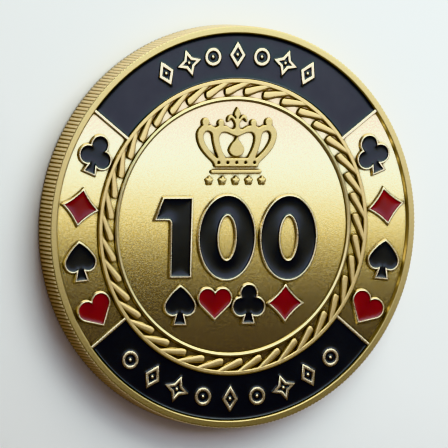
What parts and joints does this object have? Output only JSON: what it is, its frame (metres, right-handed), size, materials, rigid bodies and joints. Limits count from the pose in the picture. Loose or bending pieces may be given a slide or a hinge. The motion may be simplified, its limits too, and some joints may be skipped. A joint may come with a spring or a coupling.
{
  "type": "coin-type dealer button",
  "caption": "Round struck metal dealer button with a reeded edge, rope ring, raised crown, numerals and card suits, and enamel in walled cells on both faces.",
  "frame": {"origin": "centre of the reverse rim's flat face, which is the bottom of the coin's box when it lies obverse up", "axes": "+Z out of the obverse through the coin's centre, +Y towards the top of the design (the crown), +X to the right of the numerals"},
  "size_m": [0.04, 0.04, 0.003],
  "materials": {
    "gold_plate": "satin sand-blasted gold plate, brighter on the raised walls and rim",
    "black_enamel": "glossy soft enamel, slightly dished",
    "red_enamel": "glossy soft enamel, slightly dished"
  },
  "bodies": {
    "root": {"coin_body": "gold_plate", "obverse_one_enamel": "black_enamel", "obverse_first_zero_enamel": "black_enamel", "obverse_second_zero_enamel": "black_enamel", "obverse_centre_spade_enamel": "black_enamel", "obverse_centre_heart_enamel": "red_enamel", "obverse_centre_club_enamel": "black_enamel", "obverse_centre_diamond_enamel": "red_enamel", "obverse_right_spade_enamel": "black_enamel", "obverse_right_heart_enamel": "red_enamel", "obverse_right_club_enamel": "black_enamel", "obverse_right_diamond_enamel": "red_enamel", "obverse_left_spade_enamel": "black_enamel", "obverse_left_heart_enamel": "red_enamel", "obverse_left_club_enamel": "black_enamel", "obverse_left_diamond_enamel": "red_enamel", "obverse_top_band_enamel": "black_enamel", "obverse_bottom_band_enamel": "black_enamel", "reverse_one_enamel": "black_enamel", "reverse_first_zero_enamel": "black_enamel", "reverse_second_zero_enamel": "black_enamel", "reverse_centre_spade_enamel": "black_enamel", "reverse_centre_heart_enamel": "red_enamel", "reverse_centre_club_enamel": "black_enamel", "reverse_centre_diamond_enamel": "red_enamel", "reverse_right_spade_enamel": "black_enamel", "reverse_right_heart_enamel": "red_enamel", "reverse_right_club_enamel": "black_enamel", "reverse_right_diamond_enamel": "red_enamel", "reverse_left_spade_enamel": "black_enamel", "reverse_left_heart_enamel": "red_enamel", "reverse_left_club_enamel": "black_enamel", "reverse_left_diamond_enamel": "red_enamel", "reverse_top_band_enamel": "black_enamel", "reverse_bottom_band_enamel": "black_enamel"}
  },
  "joints": []
}
